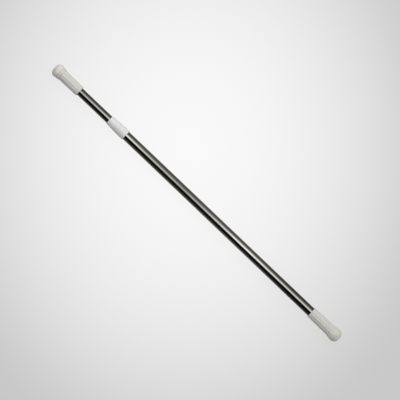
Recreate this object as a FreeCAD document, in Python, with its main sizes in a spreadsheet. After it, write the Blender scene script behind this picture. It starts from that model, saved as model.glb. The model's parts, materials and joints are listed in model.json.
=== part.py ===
import FreeCAD, Part
import math
import os
import Sketcher

# Telescopic door security bar. The bar lies along X. The origin is the centre of the outer foot's
# contact face, +X runs towards the inner foot, which the bar extends to, and +Z is up.
# Every station in the sheet is a distance from the outer foot's face, and every piece is placed
# at its own first station.

SIZES = [
    # The two tubes.
    ("outer_dia", 25.0, "thick tube, outside"),
    ("outer_wall", 0.8, "thick tube, wall"),
    ("outer_start", 24.0, "thick tube, hidden end"),
    ("outer_end", 790.0, "thick tube, mouth"),
    ("inner_dia", 22.0, "thin tube, outside"),
    ("inner_wall", 0.8, "thin tube, wall"),
    ("inner_start", 370.0, "thin tube, hidden end"),
    ("inner_end", 970.0, "thin tube, jack end"),
    ("tube_chamfer", 0.25, "broken edge of a tube's end"),
    ("run_gap", 0.03, "radial clearance of the sliding bearings"),
    ("pin_dia", 3.0, "cross pins and rivets"),
    ("pin_inset", 0.2, "end of a pin or rivet below the surface it comes out at"),
    # Outer foot and the fluted sleeve that carries it.
    ("face_rad", 9.0, "flat contact face of the outer foot"),
    ("dome_arc", 12.0, "arc of the foot's dome"),
    ("pad_seam", 8.8, "seam between pad and sleeve"),
    ("pad_seam_rad", 17.3, "radius at that seam"),
    ("pad_spigot_rad", 13.0, "pad's spigot in the sleeve"),
    ("pad_spigot_end", 15.0, "end of that spigot"),
    ("pad_pocket_rad", 6.5, "hollow over the screw head"),
    ("pad_pocket_end", 11.0, "floor of that hollow"),
    ("flare_arc", 28.0, "convex arc of the sleeve's flare"),
    ("flare_end", 20.0, "where the flare turns hollow"),
    ("flare_end_rad", 17.54, "radius there"),
    ("neck_arc", 121.7, "hollow arc from flare to neck"),
    ("neck", 40.0, "end of the hollow arc"),
    ("neck_rad", 15.6, "radius there"),
    ("rim", 99.7, "sleeve's open rim"),
    ("rim_rad", 14.75, "radius there"),
    ("rim_fillet", 1.2, "rounding of the open rim"),
    ("well_rad", 8.0, "well for the screw head"),
    ("web_start", 18.5, "web that the screw clamps"),
    ("web_end", 22.0, "other side of the web"),
    ("web_hole_rad", 2.7, "screw hole in the web"),
    ("plug_head_gap", 0.1, "plug's head to the sleeve round it"),
    ("plug_end", 52.0, "inner end of the thick tube's plug"),
    ("plug_pin_at", 44.0, "cross pin of that plug"),
    ("screw_rad", 2.5, "foot screw, shank"),
    ("screw_end", 37.0, "foot screw, tip"),
    ("screw_head_rad", 4.6, "foot screw, head"),
    ("screw_head_start", 14.4, "top of the head"),
    ("screw_drive", 4.0, "hex drive across flats"),
    ("screw_drive_depth", 1.6, "depth of the hex drive"),
    ("washer_start", 17.3, "foot screw's washer"),
    ("washer_rad", 6.5, "its radius"),
    # Flutes of both sleeves.
    ("flutes", 12, "flutes round each sleeve"),
    ("flute_rad", 4.5, "radius of the flute's section"),
    ("flute_depth", 0.6, "depth of a flute"),
    ("flute_margin", 3.0, "plain land at an open rim"),
    ("flute_stop", 24.2, "end of the flutes on the flare"),
    ("flute_stop_rad", 16.87, "radius of the flare there"),
    # Mouth of the thick tube.
    ("bush_start", 700.0, "liner bush, hidden end"),
    ("bush_end", 791.5, "liner bush, outer face of its flange"),
    ("thread_start", 771.0, "threaded ring on the thick tube"),
    ("thread_rad", 13.3, "crest of its thread"),
    ("thread_depth", 0.3, "depth of its thread"),
    ("thread_pitch", 2.0, "distance between crests"),
    ("thread_turns", 9, "crests along the ring"),
    ("thread_flank", 0.3, "share of the pitch that one flank takes"),
    # Lock collar and what is in it.
    ("collar_start", 766.0, "collar, end on the thick tube"),
    ("collar_knee", 785.0, "end of the cylinder, start of the taper"),
    ("collar_end", 825.0, "collar, front lip"),
    ("collar_rad", 14.6, "radius of the cylinder"),
    ("collar_lip_rad", 12.6, "radius at the front lip"),
    ("collar_fillet", 1.0, "rounding of both ends"),
    ("collar_step", 768.5, "end of the rear lip"),
    ("collar_rear_gap", 0.15, "rear lip to thick tube"),
    ("collar_thread_rad", 13.4, "bore over the threaded ring"),
    ("collar_front_gap", 0.35, "front lip to thin tube"),
    ("cone_start", 791.6, "wide end of the clamp ring"),
    ("cone_end", 810.0, "narrow end of the clamp ring"),
    ("cone_wide_rad", 13.2, "clamp ring, wide end"),
    ("cone_narrow_rad", 12.0, "clamp ring, narrow end"),
    ("cone_gap", 0.05, "collar's cone to the clamp ring"),
    ("cone_lead_in", 0.8, "slope from the collar's thread to its cone"),
    ("cone_run_out", 1.0, "room beyond the clamp ring's narrow end"),
    ("clamp_slit", 2.5, "slit in the clamp ring"),
    ("wiper_start", 815.0, "wiper ring and its groove"),
    ("wiper_end", 817.8, "other side of the wiper"),
    ("wiper_rad", 12.0, "outside of the wiper"),
    # Guide bush on the thin tube's hidden end.
    ("guide_start", 367.0, "closed end of the guide bush"),
    ("guide_end", 399.5, "open end, which meets the liner bush at full extension"),
    ("guide_spigot_end", 386.0, "spigot inside the thin tube"),
    ("guide_spigot_rad", 7.0, "hole through that spigot"),
    ("guide_pin_at", 378.0, "cross pin of the guide bush"),
    # Jack: plug, washer, retaining ring, nut.
    ("jack_plug_start", 938.0, "jack plug, inner end"),
    ("jack_plug_end", 972.5, "outer face of its flange"),
    ("rivets_at", 946.0, "rivets of the jack plug"),
    ("rivet_depth", 3.4, "length of a rivet"),
    ("jack_hole_gap", 0.08, "clearance round the jack screw"),
    ("thrust_end", 973.7, "outer face of the thrust washer"),
    ("thrust_rad", 10.8, "radius of the thrust washer"),
    ("thrust_gap", 0.4, "thrust washer to jack screw"),
    ("snap_start", 950.0, "snap ring that keeps the grip on"),
    ("snap_end", 954.0, "other side of the snap ring"),
    ("snap_rad", 12.3, "its radius"),
    ("snap_slit", 3.0, "slit in the snap ring"),
    ("nut_start", 973.75, "nut's flange"),
    ("nut_step", 976.5, "end of the flange, start of the hexagon"),
    ("nut_end", 986.0, "end of the nut"),
    ("nut_flange_rad", 10.5, "radius of the flange"),
    ("nut_flats", 16.0, "hexagon across flats"),
    # Fluted jack grip.
    ("grip_start", 931.7, "grip, open rim"),
    ("grip_flare", 990.0, "where the grip starts to flare"),
    ("grip_end", 995.1, "grip, end next to the flange"),
    ("grip_rim_rad", 14.2, "radius at the open rim"),
    ("grip_flare_rad", 14.85, "radius where it starts to flare"),
    ("grip_end_rad", 15.55, "radius at the end next to the flange"),
    ("foot_flare_arc", 18.9, "hollow arc that runs over grip and flange"),
    ("grip_gap", 0.08, "grip to thin tube"),
    ("grip_web_end", 986.5, "end of the web round the nut"),
    ("grip_well_rad", 10.0, "well over the jam nut"),
    ("snap_gap", 0.1, "room round the snap ring"),
    # Jack screw, its stop and the inner foot.
    ("jack_rad", 5.0, "jack screw"),
    ("jack_flats", 8.0, "jack screw across its two flats"),
    ("jack_start", 905.0, "jack screw, hidden end"),
    ("jack_end", 1007.0, "jack screw, foot end"),
    ("stop_start", 910.0, "stop collar"),
    ("stop_end", 917.8, "face that meets the jack plug"),
    ("stop_rad", 9.8, "radius of the stop collar"),
    ("stop_pin_dia", 2.5, "cross pin of the stop collar"),
    ("jam_start", 989.3, "jam nut"),
    ("jam_end", 994.3, "jam nut's face on its washer"),
    ("jam_flats", 15.0, "jam nut across flats"),
    ("flange_washer_rad", 9.5, "washer under the flange"),
    ("flange_start", 995.5, "flared flange"),
    ("flange_start_rad", 15.67, "radius at its start"),
    ("flange_flare_end", 999.3, "end of its flare"),
    ("flange_end", 1004.8, "seam between flange and inner pad"),
    ("flange_rad", 17.3, "radius of the flange"),
    ("flange_spigot_rad", 11.0, "spigot in the pad"),
    ("flange_spigot_end", 1009.0, "end of that spigot"),
    ("disc_rear_rad", 17.7, "inner pad at its rear face"),
    ("disc_shoulder", 1011.5, "inner pad, start of the dome"),
    ("disc_shoulder_rad", 18.1, "radius there"),
    ("disc_arc", 12.0, "arcs of the inner pad's edge and dome"),
    ("disc_face_rad", 9.5, "flat contact face of the inner pad"),
    ("disc_end", 1021.5, "contact face of the inner foot"),
    ("face_fillet", 0.8, "rounding of a contact face's edge"),
    ("edge_break", 0.4, "small broken edges"),
]

CLOSE = 1e-3  # places nearer than this are one place

doc = FreeCAD.newDocument("door_security_bar")
sheet = doc.addObject("Spreadsheet::Sheet", "dim")
SUBPARTS = []


def fill_sheet():
    for row, (alias, number, note) in enumerate(SIZES, start=1):
        sheet.set(f"A{row}", note)
        sheet.set(f"B{row}", str(number))
        sheet.setAlias(f"B{row}", alias)
    doc.recompute()


# Helpers: bodies and sketches -------------------------------------------------------------------

def new_body(label, station):
    """A body at its own station on the X axis."""
    body = doc.addObject("PartDesign::Body", label)
    body.Label = label
    body.setExpression(".Placement.Base.x", station)
    SUBPARTS.append(body)
    return body


def origin_item(body, role):
    return next(item for item in body.Origin.OriginFeatures if item.Role == role)


def new_sketch(body, name, role, offset=None):
    sketch = body.newObject("Sketcher::SketchObject", f"{body.Label}_{name}")
    sketch.AttachmentSupport = (origin_item(body, role), [""])
    sketch.MapMode = "FlatFace"
    if offset:
        sketch.setExpression(".AttachmentOffset.Base.z", offset)
    return sketch


def pin_point(sketch, geometry, end, across, up):
    """Ties one end of an edge to (across, up), each the text of an expression."""
    for text, kind, axis in ((across, "DistanceX", -2), (up, "DistanceY", -1)):
        value = sketch.evalExpression(text)
        if abs(value) < CLOSE:
            sketch.addConstraint(Sketcher.Constraint("PointOnObject", geometry, end, axis))
            continue
        index = sketch.addConstraint(Sketcher.Constraint(kind, -1, 1, geometry, end, value))
        sketch.setExpression(f"Constraints[{index}]", text)


def arc_between(first, last, radius, bulge):
    """Arc from first to last. bulge 1 swells away from the axis, -1 is hollow.

    Returns the arc and which of its ends is first and which is last."""
    run = last - first
    side = FreeCAD.Vector(-run.y, run.x, 0).normalize()
    if side.y * bulge > 0:
        side = side * -1
    depth = math.sqrt(radius ** 2 - (run.Length / 2) ** 2)
    centre = (first + last) * 0.5 + side * depth
    start = math.atan2(first.y - centre.y, first.x - centre.x)
    end = math.atan2(last.y - centre.y, last.x - centre.x)
    circle = Part.Circle(centre, FreeCAD.Vector(0, 0, 1), radius)
    if (first - centre).cross(last - centre).z > 0:
        return Part.ArcOfCircle(circle, start, end), 1, 2
    return Part.ArcOfCircle(circle, end, start), 2, 1


def draw_outline(sketch, outline, station):
    """Closed half section. A point is (station, radius) or (station, radius, arc, bulge), where
    the arc is that of the edge which starts there."""
    corners = []
    for point in outline:
        along = f"({point[0]}) - ({station})"
        corners.append((along, point[1]))
    places = [FreeCAD.Vector(sketch.evalExpression(a), sketch.evalExpression(r), 0) for a, r in corners]
    ends = []
    for index, point in enumerate(outline):
        first = places[index]
        last = places[(index + 1) % len(places)]
        if len(point) == 2:
            sketch.addGeometry(Part.LineSegment(first, last), False)
            ends.append((1, 2))
            continue
        arc, head, tail = arc_between(first, last, sketch.evalExpression(point[2]), point[3])
        sketch.addGeometry(arc, False)
        ends.append((head, tail))
    for index, (head, tail) in enumerate(ends):
        following = (index + 1) % len(ends)
        sketch.addConstraint(
            Sketcher.Constraint("Coincident", index, tail, following, ends[following][0])
        )
    for index, (along, radius) in enumerate(corners):
        pin_point(sketch, index, ends[index][0], along, radius)
        if len(outline[index]) > 2:
            arc_radius = sketch.evalExpression(outline[index][2])
            number = sketch.addConstraint(Sketcher.Constraint("Radius", index, arc_radius))
            sketch.setExpression(f"Constraints[{number}]", outline[index][2])


def draw_circle(sketch, radius, across="0", up="0"):
    centre = FreeCAD.Vector(sketch.evalExpression(across), sketch.evalExpression(up), 0)
    circle = Part.Circle(centre, FreeCAD.Vector(0, 0, 1), sketch.evalExpression(radius))
    index = sketch.addGeometry(circle, False)
    pin_point(sketch, index, 3, across, up)
    number = sketch.addConstraint(Sketcher.Constraint("Radius", index, circle.Radius))
    sketch.setExpression(f"Constraints[{number}]", radius)


def draw_hexagon(sketch, flats):
    """Hexagon round the origin, two flats up and down."""
    side = sketch.evalExpression(flats) / math.sqrt(3)
    corners = [
        FreeCAD.Vector(side * math.cos(math.radians(60 * k)), side * math.sin(math.radians(60 * k)), 0)
        for k in range(6)
    ]
    for k in range(6):
        sketch.addGeometry(Part.LineSegment(corners[k], corners[(k + 1) % 6]), False)
    for k in range(6):
        sketch.addConstraint(Sketcher.Constraint("Coincident", k, 2, (k + 1) % 6, 1))
        angle = math.radians(60 * k)
        pin_point(
            sketch, k, 1,
            f"({flats}) * {math.cos(angle) / math.sqrt(3):.9f}",
            f"({flats}) * {math.sin(angle) / math.sqrt(3):.9f}",
        )


def draw_two_flats(sketch, radius, flats):
    """Round section with a flat above and a flat below, as on the jack screw."""
    rad = sketch.evalExpression(radius)
    half = sketch.evalExpression(flats) / 2
    reach = math.sqrt(rad ** 2 - half ** 2)
    turn = math.atan2(half, reach)
    circle = Part.Circle(FreeCAD.Vector(0, 0, 0), FreeCAD.Vector(0, 0, 1), rad)
    top = (FreeCAD.Vector(reach, half, 0), FreeCAD.Vector(-reach, half, 0))
    low = (FreeCAD.Vector(-reach, -half, 0), FreeCAD.Vector(reach, -half, 0))
    sketch.addGeometry(Part.LineSegment(*top), False)
    sketch.addGeometry(Part.ArcOfCircle(circle, math.pi - turn, math.pi + turn), False)
    sketch.addGeometry(Part.LineSegment(*low), False)
    sketch.addGeometry(Part.ArcOfCircle(circle, -turn, turn), False)
    for first, second in ((0, 1), (1, 2), (2, 3), (3, 0)):
        sketch.addConstraint(Sketcher.Constraint("Coincident", first, 2, second, 1))
    across = f"sqrt(({radius}) ^ 2 - (({flats}) / 2) ^ 2)"
    pin_point(sketch, 0, 1, across, f"({flats}) / 2")
    pin_point(sketch, 0, 2, f"-({across})", f"({flats}) / 2")
    pin_point(sketch, 2, 1, f"-({across})", f"-({flats}) / 2")
    pin_point(sketch, 2, 2, across, f"-({flats}) / 2")
    for arc in (1, 3):
        number = sketch.addConstraint(Sketcher.Constraint("Radius", arc, rad))
        sketch.setExpression(f"Constraints[{number}]", radius)


# Helpers: features --------------------------------------------------------------------------------

def turned(label, station, outline):
    """A piece of revolution about the bar's axis."""
    body = new_body(label, station)
    sketch = new_sketch(body, "section", "XY_Plane")
    draw_outline(sketch, outline, station)
    turn = body.newObject("PartDesign::Revolution", f"{label}_turned")
    turn.Profile = sketch
    turn.ReferenceAxis = (sketch, ["H_Axis"])
    turn.Angle = 360
    doc.recompute()
    return body


def ring_outline(start, end, bore, outside):
    return [(start, bore), (end, bore), (end, outside), (start, outside)]


def round_edges(body, places, size, kind="Fillet"):
    """Fillet or chamfer on the circular edges at the given (station from the body, radius)."""
    base = body.Tip
    wanted = [(body.evalExpression(a), body.evalExpression(r)) for a, r in places]
    names = []
    for index, edge in enumerate(base.Shape.Edges, start=1):
        curve = edge.Curve
        if not isinstance(curve, Part.Circle) or abs(curve.Axis.x) < 1 - CLOSE:
            continue
        for along, radius in wanted:
            if abs(curve.Center.x - along) < CLOSE and abs(curve.Radius - radius) < CLOSE:
                names.append(f"Edge{index}")
    if len(names) < len(wanted):
        raise RuntimeError(f"{body.Label}: an edge to round is missing")
    feature = body.newObject(f"PartDesign::{kind}", f"{body.Label}_{kind.lower()}")
    feature.Base = (base, names)
    feature.setExpression("Radius" if kind == "Fillet" else "Size", size)
    doc.recompute()
    return feature


def cut_checked(body, feature, before):
    """A cut that points away from the solid removes nothing, so the volume has to fall."""
    doc.recompute()
    if feature.Shape.Volume >= before - CLOSE:
        raise RuntimeError(f"{feature.Label}: cuts nothing")


def cross_hole(body, along, diameter, name="cross_hole"):
    """Hole straight down through the piece, for a pin."""
    before = body.Shape.Volume
    sketch = new_sketch(body, name, "XY_Plane")
    draw_circle(sketch, f"({diameter}) / 2", across=along)
    hole = body.newObject("PartDesign::Pocket", f"{body.Label}_{name}_cut")
    hole.Profile = sketch
    hole.SideType = "Symmetric"
    hole.Type = "ThroughAll"
    cut_checked(body, hole, before)


def axial_pocket(body, name, draw, start, depth):
    """Pocket along +X from a plane at start, with the section that draw makes."""
    before = body.Shape.Volume
    sketch = new_sketch(body, name, "YZ_Plane", offset=start)
    draw(sketch)
    pocket = body.newObject("PartDesign::Pocket", f"{body.Label}_{name}_cut")
    pocket.Profile = sketch
    pocket.Reversed = True
    pocket.setExpression("Length", depth)
    cut_checked(body, pocket, before)
    return pocket


def axial_pad(body, name, draw, start, length):
    sketch = new_sketch(body, name, "YZ_Plane", offset=start)
    draw(sketch)
    pad = body.newObject("PartDesign::Pad", f"{body.Label}_{name}_pad")
    pad.Profile = sketch
    pad.setExpression("Length", length)
    doc.recompute()
    return pad


def slit(body, width):
    """Cuts the top of a ring open, so that it can close or spring."""
    before = body.Shape.Volume
    sketch = new_sketch(body, "slit", "YZ_Plane")
    beyond = "dim.outer_dia"
    corners = [
        (f"-({width}) / 2", "0"),
        (f"({width}) / 2", "0"),
        (f"({width}) / 2", beyond),
        (f"-({width}) / 2", beyond),
    ]
    places = [FreeCAD.Vector(sketch.evalExpression(a), sketch.evalExpression(u), 0) for a, u in corners]
    for k in range(4):
        sketch.addGeometry(Part.LineSegment(places[k], places[(k + 1) % 4]), False)
    for k in range(4):
        sketch.addConstraint(Sketcher.Constraint("Coincident", k, 2, (k + 1) % 4, 1))
        pin_point(sketch, k, 1, *corners[k])
    cut = body.newObject("PartDesign::Pocket", f"{body.Label}_slit_cut")
    cut.Profile = sketch
    cut.SideType = "Symmetric"
    cut.Type = "ThroughAll"
    cut_checked(body, cut, before)


def cut_flutes(body, path):
    """Flutes along a sleeve. path holds the section's centre points from the open rim on: two for
    a straight run, three where the run goes on into a hollow arc that is tangent to it."""
    before = body.Shape.Volume
    spine = new_sketch(body, "flute_path", "XY_Plane")
    places = [FreeCAD.Vector(spine.evalExpression(a), spine.evalExpression(r), 0) for a, r in path]
    spine.addGeometry(Part.LineSegment(places[0], places[1]), False)
    pin_point(spine, 0, 1, *path[0])
    pin_point(spine, 0, 2, *path[1])
    if len(path) == 3:
        arc, head, tail = arc_between(places[1], places[2], spine.evalExpression("dim.neck_arc"), -1)
        spine.addGeometry(arc, False)
        spine.addConstraint(Sketcher.Constraint("Tangent", 0, 2, 1, head))
        pin_point(spine, 1, tail, *path[2])
    section = new_sketch(body, "flute_section", "YZ_Plane", offset=path[0][0])
    draw_circle(section, "dim.flute_rad", across=path[0][1])
    doc.recompute()
    groove = body.newObject("PartDesign::SubtractivePipe", f"{body.Label}_flute")
    groove.Profile = section
    groove.Spine = spine
    doc.recompute()
    pattern = body.newObject("PartDesign::PolarPattern", f"{body.Label}_flutes")
    pattern.Originals = [groove]
    pattern.Axis = (section, ["N_Axis"])
    pattern.Angle = 360
    pattern.setExpression("Occurrences", "dim.flutes")
    body.Tip = pattern
    cut_checked(body, pattern, before)


def turn_half_a_flute(body):
    """Turns the grip or its nut about the bar's axis, so that the grip has a land at the top."""
    placement = body.Placement
    body.Placement = FreeCAD.Placement(placement.Base, FreeCAD.Rotation(FreeCAD.Vector(1, 0, 0), 1))
    body.setExpression(".Placement.Rotation.Angle", "180 deg / dim.flutes")


def cylinder_across(name, along, radius, low, high):
    """Plain pin along Z from low to high."""
    pin = doc.addObject("Part::Cylinder", name)
    pin.Label = name
    pin.setExpression("Radius", radius)
    pin.setExpression("Height", f"({high}) - ({low})")
    pin.setExpression(".Placement.Base.x", along)
    pin.setExpression(".Placement.Base.z", low)
    return pin


# Thick tube and its outer end ---------------------------------------------------------------------

def make_outer_tube():
    outside = "dim.outer_dia / 2"
    bore = "dim.outer_dia / 2 - dim.outer_wall"
    body = turned(
        "outer_tube", "dim.outer_start", ring_outline("dim.outer_start", "dim.outer_end", bore, outside)
    )
    ends = [("0", outside), ("dim.outer_end - dim.outer_start", outside)]
    round_edges(body, ends, "dim.tube_chamfer", "Chamfer")
    cross_hole(body, "dim.plug_pin_at - dim.outer_start", "dim.pin_dia")


def make_outer_end_sleeve():
    body = turned("outer_end_sleeve", "dim.pad_seam", [
        ("dim.web_start", "dim.web_hole_rad"),
        ("dim.web_end", "dim.web_hole_rad"),
        ("dim.web_end", "dim.outer_dia / 2"),
        ("dim.rim", "dim.outer_dia / 2"),
        ("dim.rim", "dim.rim_rad"),
        ("dim.neck", "dim.neck_rad", "dim.neck_arc", -1),
        ("dim.flare_end", "dim.flare_end_rad", "dim.flare_arc", 1),
        ("dim.pad_seam", "dim.pad_seam_rad"),
        ("dim.pad_seam", "dim.pad_spigot_rad"),
        ("dim.pad_spigot_end", "dim.pad_spigot_rad"),
        ("dim.pad_spigot_end", "dim.well_rad"),
        ("dim.web_start", "dim.well_rad"),
    ])
    round_edges(body, [("dim.rim - dim.pad_seam", "dim.rim_rad")], "dim.rim_fillet")
    round_edges(body, [("0", "dim.pad_seam_rad")], "dim.edge_break")
    lift = "dim.flute_rad - dim.flute_depth"
    cut_flutes(body, [
        ("dim.rim - dim.flute_margin - dim.pad_seam", f"dim.rim_rad + {lift}"),
        ("dim.neck - dim.pad_seam", f"dim.neck_rad + {lift}"),
        ("dim.flute_stop - dim.pad_seam", f"dim.flute_stop_rad + {lift}"),
    ])


def make_outer_foot_pad():
    body = turned("outer_foot_pad", "0", [
        ("0", "0"),
        ("0", "dim.face_rad", "dim.dome_arc", 1),
        ("dim.pad_seam", "dim.pad_seam_rad"),
        ("dim.pad_seam", "dim.pad_spigot_rad"),
        ("dim.pad_spigot_end", "dim.pad_spigot_rad"),
        ("dim.pad_spigot_end", "dim.pad_pocket_rad"),
        ("dim.pad_pocket_end", "dim.pad_pocket_rad"),
        ("dim.pad_pocket_end", "0"),
    ])
    round_edges(body, [("0", "dim.face_rad")], "dim.face_fillet")
    round_edges(body, [("dim.pad_seam", "dim.pad_seam_rad")], "dim.edge_break")


def make_outer_foot_washer():
    turned("outer_foot_washer", "dim.washer_start", ring_outline(
        "dim.washer_start", "dim.web_start", "dim.web_hole_rad", "dim.washer_rad"
    ))


def make_outer_foot_screw():
    body = turned("outer_foot_screw", "dim.screw_head_start", [
        ("dim.screw_head_start", "0"),
        ("dim.screw_head_start", "dim.screw_head_rad"),
        ("dim.washer_start", "dim.screw_head_rad"),
        ("dim.washer_start", "dim.screw_rad"),
        ("dim.screw_end", "dim.screw_rad"),
        ("dim.screw_end", "0"),
    ])
    round_edges(body, [("0", "dim.screw_head_rad")], "dim.face_fillet")
    tip = ("dim.screw_end - dim.screw_head_start", "dim.screw_rad")
    round_edges(body, [tip], "dim.edge_break", "Chamfer")
    axial_pocket(
        body, "drive", lambda sketch: draw_hexagon(sketch, "dim.screw_drive"), "0", "dim.screw_drive_depth"
    )


def make_outer_tube_plug():
    bore = "dim.outer_dia / 2 - dim.outer_wall"
    head = "dim.outer_dia / 2 - dim.plug_head_gap"
    body = turned("outer_tube_plug", "dim.web_end", [
        ("dim.web_end", "dim.screw_rad"),
        ("dim.plug_end", "dim.screw_rad"),
        ("dim.plug_end", bore),
        ("dim.outer_start", bore),
        ("dim.outer_start", head),
        ("dim.web_end", head),
    ])
    round_edges(body, [("dim.plug_end - dim.web_end", bore)], "dim.edge_break", "Chamfer")
    cross_hole(body, "dim.plug_pin_at - dim.web_end", "dim.pin_dia")


def make_outer_plug_pin():
    reach = "(dim.outer_dia / 2 - dim.pin_inset)"
    SUBPARTS.append(
        cylinder_across("outer_plug_pin", "dim.plug_pin_at", "dim.pin_dia / 2", f"-{reach}", reach)
    )


# Mouth of the thick tube ----------------------------------------------------------------------------

def make_mouth_bush():
    bore = "dim.inner_dia / 2 + dim.run_gap"
    outside = "dim.outer_dia / 2 - dim.outer_wall"
    body = turned("mouth_bush", "dim.bush_start", [
        ("dim.bush_start", bore),
        ("dim.bush_end", bore),
        ("dim.bush_end", "dim.outer_dia / 2"),
        ("dim.outer_end", "dim.outer_dia / 2"),
        ("dim.outer_end", outside),
        ("dim.bush_start", outside),
    ])
    round_edges(body, [("0", outside)], "dim.tube_chamfer", "Chamfer")


def make_thread_sleeve():
    """Crests with slanted sides, one every pitch, on a ring that is fixed on the tube."""
    crest = "dim.thread_rad"
    root = "dim.thread_rad - dim.thread_depth"
    end = "dim.thread_start + dim.thread_turns * dim.thread_pitch"
    outline = [(end, "dim.outer_dia / 2"), ("dim.thread_start", "dim.outer_dia / 2")]
    for turn in range(int(sheet.thread_turns)):
        foot = f"dim.thread_start + {turn} * dim.thread_pitch"
        outline.append((foot, root))
        outline.append((f"{foot} + dim.thread_flank * dim.thread_pitch", crest))
        outline.append((f"{foot} + (1 - dim.thread_flank) * dim.thread_pitch", crest))
    outline.append((end, root))
    turned("thread_sleeve", "dim.thread_start", outline)


# Lock collar, clamp ring and wiper ------------------------------------------------------------------

def make_clamp_ring():
    bore = "dim.inner_dia / 2 + dim.run_gap"
    body = turned("clamp_ring", "dim.cone_start", [
        ("dim.cone_start", bore),
        ("dim.cone_end", bore),
        ("dim.cone_end", "dim.cone_narrow_rad"),
        ("dim.cone_start", "dim.cone_wide_rad"),
    ])
    slit(body, "dim.clamp_slit")


def make_lock_collar():
    lip = "dim.inner_dia / 2 + dim.collar_front_gap"
    rear = "dim.outer_dia / 2 + dim.collar_rear_gap"
    body = turned("lock_collar", "dim.collar_start", [
        ("dim.collar_start", rear),
        ("dim.collar_step", rear),
        ("dim.collar_step", "dim.collar_thread_rad"),
        ("dim.cone_start - dim.cone_lead_in", "dim.collar_thread_rad"),
        ("dim.cone_start", "dim.cone_wide_rad + dim.cone_gap"),
        ("dim.cone_end", "dim.cone_narrow_rad + dim.cone_gap"),
        ("dim.cone_end + dim.cone_run_out", "dim.cone_narrow_rad + dim.cone_gap"),
        ("dim.cone_end + dim.cone_run_out", lip),
        ("dim.wiper_start", lip),
        ("dim.wiper_start", "dim.wiper_rad"),
        ("dim.wiper_end", "dim.wiper_rad"),
        ("dim.wiper_end", lip),
        ("dim.collar_end", lip),
        ("dim.collar_end", "dim.collar_lip_rad"),
        ("dim.collar_knee", "dim.collar_rad"),
        ("dim.collar_start", "dim.collar_rad"),
    ])
    ends = [("0", "dim.collar_rad"), ("dim.collar_end - dim.collar_start", "dim.collar_lip_rad")]
    round_edges(body, ends, "dim.collar_fillet")


def make_wiper_ring():
    turned("wiper_ring", "dim.wiper_start", ring_outline(
        "dim.wiper_start", "dim.wiper_end", "dim.inner_dia / 2 + dim.collar_front_gap", "dim.wiper_rad"
    ))


# Thin tube, its guide bush and the jack plug ----------------------------------------------------------

def make_inner_tube():
    outside = "dim.inner_dia / 2"
    bore = "dim.inner_dia / 2 - dim.inner_wall"
    body = turned(
        "inner_tube", "dim.inner_start", ring_outline("dim.inner_start", "dim.inner_end", bore, outside)
    )
    ends = [("0", outside), ("dim.inner_end - dim.inner_start", outside)]
    round_edges(body, ends, "dim.tube_chamfer", "Chamfer")
    cross_hole(body, "dim.guide_pin_at - dim.inner_start", "dim.pin_dia", "guide_pin_hole")
    cross_hole(body, "dim.rivets_at - dim.inner_start", "dim.pin_dia", "rivet_hole")


def make_guide_bush():
    skirt = "dim.outer_dia / 2 - dim.outer_wall - dim.run_gap"
    tube_bore = "dim.inner_dia / 2 - dim.inner_wall"
    body = turned("guide_bush", "dim.guide_start", [
        ("dim.guide_start", "dim.guide_spigot_rad"),
        ("dim.guide_spigot_end", "dim.guide_spigot_rad"),
        ("dim.guide_spigot_end", tube_bore),
        ("dim.inner_start", tube_bore),
        ("dim.inner_start", "dim.inner_dia / 2"),
        ("dim.guide_end", "dim.inner_dia / 2"),
        ("dim.guide_end", skirt),
        ("dim.guide_start", skirt),
    ])
    round_edges(body, [("0", skirt)], "dim.edge_break", "Chamfer")
    cross_hole(body, "dim.guide_pin_at - dim.guide_start", "dim.pin_dia")


def make_guide_bush_pin():
    reach = "(dim.outer_dia / 2 - dim.outer_wall - dim.pin_inset)"
    SUBPARTS.append(
        cylinder_across("guide_bush_pin", "dim.guide_pin_at", "dim.pin_dia / 2", f"-{reach}", reach)
    )


def make_jack_plug():
    tube_bore = "dim.inner_dia / 2 - dim.inner_wall"
    body = turned("jack_plug", "dim.jack_plug_start", [
        ("dim.jack_plug_start", "0"),
        ("dim.jack_plug_end", "0"),
        ("dim.jack_plug_end", "dim.inner_dia / 2"),
        ("dim.inner_end", "dim.inner_dia / 2"),
        ("dim.inner_end", tube_bore),
        ("dim.jack_plug_start", tube_bore),
    ])
    round_edges(body, [("0", tube_bore)], "dim.edge_break", "Chamfer")
    axial_pocket(
        body,
        "two_flats",
        lambda sketch: draw_two_flats(
            sketch, "dim.jack_rad + dim.jack_hole_gap", "dim.jack_flats + 2 * dim.jack_hole_gap"
        ),
        "0",
        "dim.jack_plug_end - dim.jack_plug_start",
    )
    cross_hole(body, "dim.rivets_at - dim.jack_plug_start", "dim.pin_dia")


def make_jack_plug_rivets():
    """Two rivets, above and below, that stop short of the jack screw."""
    head = "(dim.inner_dia / 2 - dim.pin_inset)"
    tip = f"({head} - dim.rivet_depth)"
    upper = cylinder_across("rivet_upper", "dim.rivets_at", "dim.pin_dia / 2", tip, head)
    lower = cylinder_across("rivet_lower", "dim.rivets_at", "dim.pin_dia / 2", f"-{head}", f"-{tip}")
    pair = doc.addObject("Part::Compound", "jack_plug_rivets")
    pair.Label = "jack_plug_rivets"
    pair.Links = [upper, lower]
    SUBPARTS.append(pair)


def make_jack_retaining_ring():
    body = turned("jack_retaining_ring", "dim.snap_start", ring_outline(
        "dim.snap_start", "dim.snap_end", "dim.inner_dia / 2", "dim.snap_rad"
    ))
    slit(body, "dim.snap_slit")


def make_jack_thrust_washer():
    turned("jack_thrust_washer", "dim.jack_plug_end", ring_outline(
        "dim.jack_plug_end", "dim.thrust_end", "dim.jack_rad + dim.thrust_gap", "dim.thrust_rad"
    ))


# Turning grip and its nut -----------------------------------------------------------------------------

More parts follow.
